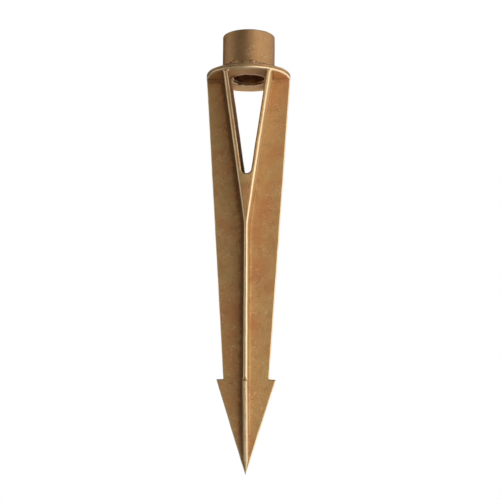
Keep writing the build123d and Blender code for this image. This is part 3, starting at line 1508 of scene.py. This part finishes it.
@dataclass(frozen=True)
class Studio:
    """A white studio: floor, light all round, and the camera."""

    floor_level: float
    base_light: float = 0.02
    lights: tuple[SoftLight, ...] = (
        SoftLight(azimuth=40, elevation=12, strength=1.06, spread=42),
        SoftLight(azimuth=20, elevation=-22, strength=0.80, spread=40),
        SoftLight(azimuth=-35, elevation=0, strength=0.16, spread=40),
        SoftLight(azimuth=-45, elevation=-36, strength=0.34, spread=34),
        SoftLight(azimuth=-92, elevation=12, strength=0.66, spread=40),
        SoftLight(azimuth=80, elevation=-10, strength=0.80, spread=50),
        SoftLight(azimuth=112, elevation=12, strength=0.60, spread=42),
        SoftLight(azimuth=150, elevation=-22, strength=0.85, spread=42),
        SoftLight(azimuth=180, elevation=-22, strength=0.75, spread=42),
        SoftLight(azimuth=90, elevation=-62, strength=0.98, spread=42),
    )
    floor_size: float = 60.0

    def floor(self) -> None:
        """Lay the white floor, which leaves the room's light on the brass as it is."""
        mesh = bpy.data.meshes.new("studio_floor")
        half, level = self.floor_size / 2, self.floor_level * MM
        signs = ((-1, -1), (1, -1), (1, 1), (-1, 1))
        mesh.from_pydata([(x * half, y * half, level) for x, y in signs], [], [(0, 1, 2, 3)])
        floor = bpy.data.objects.new("studio_floor", mesh)
        bpy.context.scene.collection.objects.link(floor)
        material = bpy.data.materials.new("studio_floor_white")
        material.use_nodes = True
        material.node_tree.nodes.clear()
        w = Wiring(material.node_tree)
        glow = w.node("ShaderNodeEmission", {"Color": (1.0, 1.0, 1.0, 1.0), "Strength": 1.0})
        w.node("ShaderNodeOutputMaterial", {"Surface": glow.outputs[0]})
        mesh.materials.append(material)
        floor.visible_diffuse = False
        floor.visible_glossy = False
        floor.visible_shadow = False
        floor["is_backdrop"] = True

    def world(self) -> None:
        """Light the room: each patch fades from its middle with the cosine of the angle."""
        world = bpy.data.worlds.new("studio_room")
        bpy.context.scene.world = world
        world.use_nodes = True
        world.node_tree.nodes.clear()
        w = Wiring(world.node_tree)
        heading = w.node("ShaderNodeTexCoord").outputs["Generated"]
        total: object = self.base_light
        for light in self.lights:
            inputs = {0: heading, 1: light.direction()}
            facing = w.node("ShaderNodeVectorMath", inputs, operation="DOT_PRODUCT").outputs["Value"]
            glow = w.span(facing, math.cos(math.radians(light.spread)), 1.0, 0.0, light.strength)
            total = w.math("ADD", glow, total)
        seen = w.node("ShaderNodeLightPath").outputs["Is Camera Ray"]
        strength = w.node("ShaderNodeMix", {0: seen, 2: total, 3: 1.0}, data_type="FLOAT").outputs[0]
        glow = w.node("ShaderNodeBackground", {"Color": (1.0, 1.0, 1.0, 1.0), "Strength": strength})
        w.node("ShaderNodeOutputWorld", {"Surface": glow.outputs[0]})

    def build(self) -> None:
        """Set up the floor, the light and the colour handling."""
        self.floor()
        self.world()
        bpy.context.scene.view_settings.view_transform = "Standard"
        bpy.context.scene.view_settings.look = "None"


@dataclass(frozen=True)
class StudioCamera:
    """A camera a little under the stake's middle, looking slightly up at it."""

    look_height: float = -104.0
    distance: float = 552.7
    azimuth: float = 2.5
    elevation: float = -6.459
    roll: float = 0.439
    aside: float = 1.65
    lens: float = 66.77
    sensor: float = 36.0

    def build(self) -> bpy.types.Object:
        """Place the camera and make it the scene's own.

        Returns:
            The camera.
        """
        turn, rise, roll = (math.radians(a) for a in (self.azimuth, self.elevation, self.roll))
        level = Vector((math.sin(turn), -math.cos(turn), 0.0))
        back = math.cos(rise) * level + math.sin(rise) * Vector((0.0, 0.0, 1.0))
        right = Vector((math.cos(turn), math.sin(turn), 0.0))
        up = back.cross(right)
        rolled_right = math.cos(roll) * right + math.sin(roll) * up
        rolled_up = math.cos(roll) * up - math.sin(roll) * right
        spot = Vector((0.0, 0.0, self.look_height)) + self.distance * back + self.aside * right
        lens = bpy.data.cameras.new("studio_camera")
        lens.lens, lens.sensor_width = self.lens, self.sensor
        lens.clip_start, lens.clip_end = 0.01, 100.0
        camera = bpy.data.objects.new("studio_camera", lens)
        bpy.context.scene.collection.objects.link(camera)
        turned = Matrix((rolled_right, rolled_up, back)).transposed()
        camera.matrix_world = Matrix.Translation(spot * MM) @ turned.to_4x4()
        bpy.context.scene.camera = camera
        return camera


# --- the whole stake ----------------------------------------------------------------------


@dataclass
class GroundStake:
    """The stake: every part with the finish it wears."""

    sizes: StakeSizes
    effects: Effects = field(default_factory=Effects)
    finishes: dict[Slot, bpy.types.Material] = field(default_factory=dict)

    def dress(self, piece: bpy.types.Object, node: str, slot: Slot) -> None:
        """Give a piece its finish and its place in the frame.

        Args:
            piece: The finished piece.
            node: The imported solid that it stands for.
            slot: The material slot that it takes its finish from.
        """
        if slot not in self.finishes:
            self.finishes[slot] = FINISHES[slot].build(self.effects)
        piece.data.materials.append(self.finishes[slot])
        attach(piece, BODY)
        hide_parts(node)
        log.info("%s: %d faces, %s", piece.name, len(piece.data.polygons), slot.value)

    def build(self) -> None:
        """Make and dress every part."""
        s = self.sizes
        parts = [
            (Collar(s), Slot.TURNED),
            (BrazeBead(s), Slot.BRAZE),
            (Flange(s), Slot.CAST),
            (Spine(s), Slot.CAST),
            (CrotchWeb(s), Slot.CAST),
        ]
        for side in Side:
            parts += [(SideFin(s, side), Slot.CAST), (ForkLeg(s, side), Slot.CAST)]
        for part, slot in parts:
            self.dress(part.build(), part.node, slot)


def note_size() -> None:
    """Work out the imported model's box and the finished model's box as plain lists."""
    boxes = {"cad": cad_box, "visual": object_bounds()}
    plain = {label: [[float(v) for v in corner] for corner in box] for label, box in boxes.items()}


def main() -> None:
    """Build the stake and its studio."""
    logging.basicConfig(level=logging.INFO, format="%(name)s: %(message)s")
    sizes = StakeSizes.from_frame()
    StudioCamera().build()
    GroundStake(sizes).build()
    Studio(floor_level=sizes.tip).build()
    note_size()


if __name__ == "__main__":
    main()
